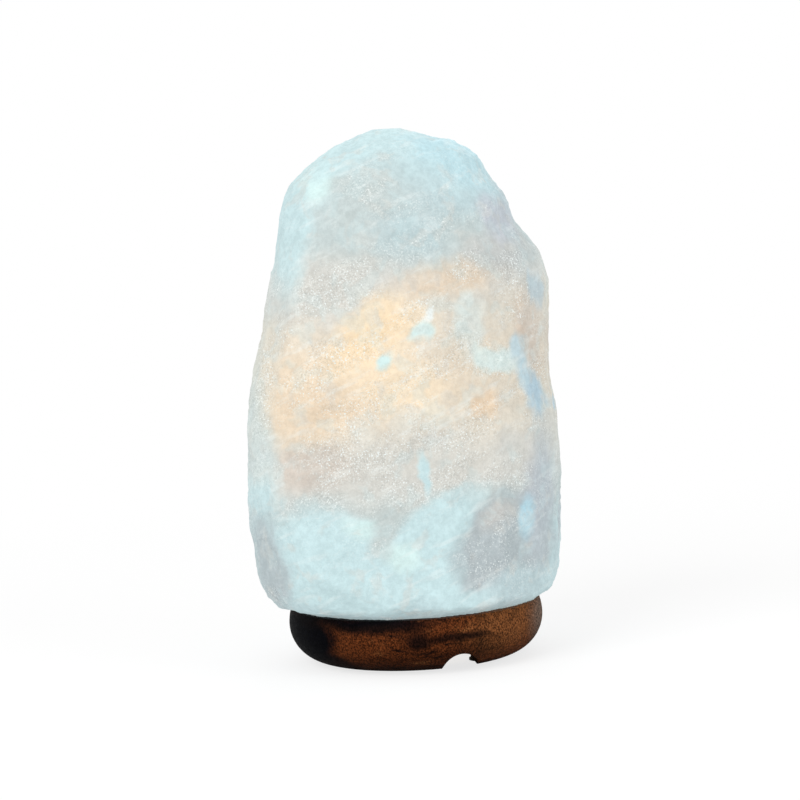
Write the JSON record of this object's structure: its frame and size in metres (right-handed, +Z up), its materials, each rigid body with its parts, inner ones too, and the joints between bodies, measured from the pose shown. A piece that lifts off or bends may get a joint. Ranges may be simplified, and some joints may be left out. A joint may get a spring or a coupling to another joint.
{
  "type": "salt crystal lamp",
  "caption": "Tall hewn block of pale rock salt on a round dark wooden base, lit from inside by a small screw-cap bulb in a clipped holder",
  "frame": {"origin": "on the floor under the middle of the round base", "axes": "+Z up, -Y towards the lamp's front, where the lead's groove comes out"},
  "size_m": [0.128, 0.1138, 0.2143],
  "materials": {
    "rock_salt": "satin",
    "stained_wood": "satin",
    "zinc_steel": "satin",
    "spring_steel": "satin",
    "felt": "matte",
    "gland_plastic": "matte",
    "holder_plastic": "satin",
    "core_ceramic": "matte",
    "terminal_brass": "satin",
    "shell_brass": "satin",
    "solder": "satin",
    "black_glass": "gloss",
    "cap_metal": "satin",
    "cement": "matte",
    "clear_glass": "gloss",
    "lead_metal": "satin",
    "filament_glow": "satin"
  },
  "bodies": {
    "lamp_body": {"wood_base": "stained_wood", "salt_crystal": "rock_salt", "base_screws": "zinc_steel", "felt_pads": "felt"},
    "lampholder": {"clip_bracket": "spring_steel", "cord_gland": "gland_plastic", "gland_screw": "gland_plastic", "holder_cap": "holder_plastic", "holder_casing": "holder_plastic", "holder_core": "core_ceramic", "live_terminal": "terminal_brass", "shell_terminal": "terminal_brass", "terminal_screws": "zinc_steel", "screw_shell": "shell_brass", "contact_spring": "spring_steel"},
    "clip_left": {"clip_left": "spring_steel"},
    "clip_right": {"clip_right": "spring_steel"},
    "centre_contact": {"contact_plunger": "terminal_brass"},
    "bulb": {"bulb_tip": "solder", "bulb_insulator": "black_glass", "bulb_cap": "cap_metal", "cap_cement": "cement", "bulb_glass": "clear_glass", "bulb_stem": "clear_glass", "lead_wires": "lead_metal", "filament": "filament_glow", "filament_supports": "lead_metal"}
  },
  "joints": [
    {"name": "holder_slide", "type": "slide", "parent": "lamp_body", "child": "lampholder", "axis": [0, 0, -1], "range_m": [0, 0.123]},
    {"name": "clip_left_flex", "type": "hinge", "parent": "lampholder", "child": "clip_left", "pos_m": [-0.0156, 0, 0.042], "axis": [0, 1, 0], "range_deg": [0, 9], "stiffness_Nm_per_rad": 1},
    {"name": "clip_right_flex", "type": "hinge", "parent": "lampholder", "child": "clip_right", "pos_m": [0.0156, 0, 0.042], "axis": [0, -1, 0], "range_deg": [0, 9], "stiffness_Nm_per_rad": 1},
    {"name": "bulb_rise", "type": "slide", "parent": "lampholder", "child": "centre_contact", "axis": [0, 0, 1], "range_m": [0, 0.00282], "deforming": ["contact_spring"]},
    {"name": "bulb_unscrew", "type": "hinge", "parent": "centre_contact", "child": "bulb", "pos_m": [0, 0, 0.0675], "axis": [0, 0, 1], "range_deg": [0, 360]}
  ],
  "couplings": [
    {"joint": "bulb_unscrew", "follows": "bulb_rise", "rad_per_m": 2226.5}
  ]
}
